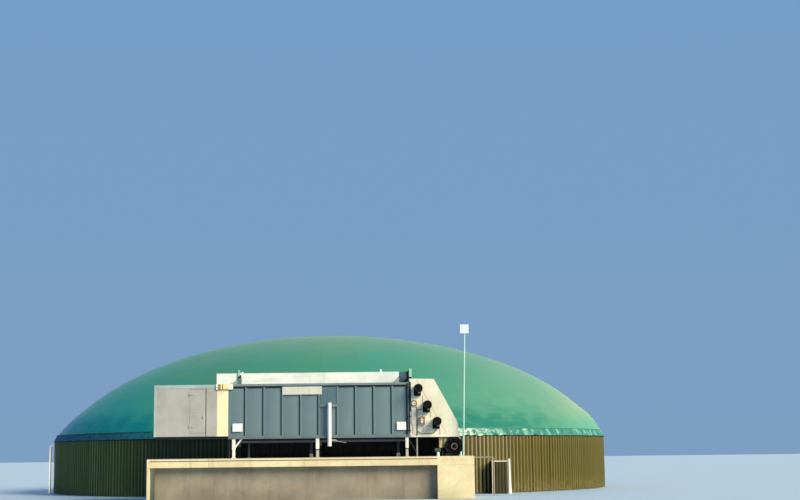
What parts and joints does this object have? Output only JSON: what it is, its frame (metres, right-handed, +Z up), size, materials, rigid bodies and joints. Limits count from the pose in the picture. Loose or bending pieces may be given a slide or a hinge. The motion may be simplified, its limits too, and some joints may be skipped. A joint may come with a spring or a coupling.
{
  "type": "biogas digester with solids feeder",
  "caption": "Round clad biogas digester tank with a membrane gas dome, and a solids feeder on a concrete deck in front.",
  "frame": {"origin": "on the axis of the round tank, at ground level, on the underside of its floor slab", "axes": "+Z up, -Y towards the feeder, +X to the right for a viewer in front of the feeder"},
  "size_m": [28.056, 32.628, 7.81],
  "materials": {
    "concrete": "cast concrete, sun-bleached, with stains",
    "concrete_shaded": "cast concrete, grey-brown and stained",
    "cladding": "ribbed sheet, olive green paint, satin",
    "membrane": "coated fabric membrane, green, satin",
    "galvanised": "galvanised sheet, dull",
    "bin_paint": "blue-grey paint, satin, weathered",
    "cream_paint": "cream paint, satin",
    "white_paint": "white paint, satin",
    "dark_steel": "dark paint, satin",
    "motor_black": "black paint, satin",
    "pump_green": "green paint, satin",
    "white_plastic": "white plastic pipe"
  },
  "bodies": {
    "root": {"bearing": "cream_paint", "bin_back_wall": "bin_paint", "bin_base_frame": "bin_paint", "bin_floor": "galvanised", "bin_front_wall": "bin_paint", "bin_left_wall": "bin_paint", "bin_right_wall": "bin_paint", "bin_rim": "bin_paint", "board_post": "white_paint", "chute": "cream_paint", "cladding_1": "cladding", "cladding_2": "cladding", "cladding_3": "cladding", "cladding_4": "cladding", "clamp_rail": "galvanised", "cylinder_post": "cream_paint", "deck_back_wall": "concrete_shaded", "deck_front_wall": "concrete_shaded", "deck_left_pillar": "concrete", "deck_left_wall": "concrete", "deck_right_wall": "concrete", "deck_slab": "concrete", "discharge_housing": "cream_paint", "downpipe": "white_plastic", "feed_screw": "motor_black", "flap": "bin_paint", "flap_post": "white_paint", "floor_slab": "concrete", "gas_dome": "membrane", "gear_motor_1": "motor_black", "gear_motor_2": "motor_black", "gear_motor_3": "motor_black", "girder_back": "dark_steel", "girder_front": "dark_steel", "guard_rail": "galvanised", "housing_bearer": "dark_steel", "housing_prop": "galvanised", "hydraulics_housing": "galvanised", "junction_box": "cream_paint", "light_head": "white_paint", "light_pole": "white_paint", "name_board": "cream_paint", "post_bracket": "cream_paint", "pump_motor": "pump_green", "rear_guard": "dark_steel", "service_box": "cladding", "side_tube": "white_paint", "skirt": "membrane", "splash_board": "white_paint", "tank_wall_1": "concrete", "tank_wall_2": "concrete", "tank_wall_3": "concrete", "tank_wall_4": "concrete", "trestle_1": "white_paint", "trestle_2": "white_paint", "trestle_3": "white_paint", "vent": "white_plastic"},
    "door": {"access_door": "galvanised"}
  },
  "joints": [
    {"name": "door_hinge", "type": "hinge", "parent": "root", "child": "door", "pos_m": [-4.67, -18.12, 2.85], "axis": [0, 0, -1], "range_deg": [0, 110]}
  ]
}
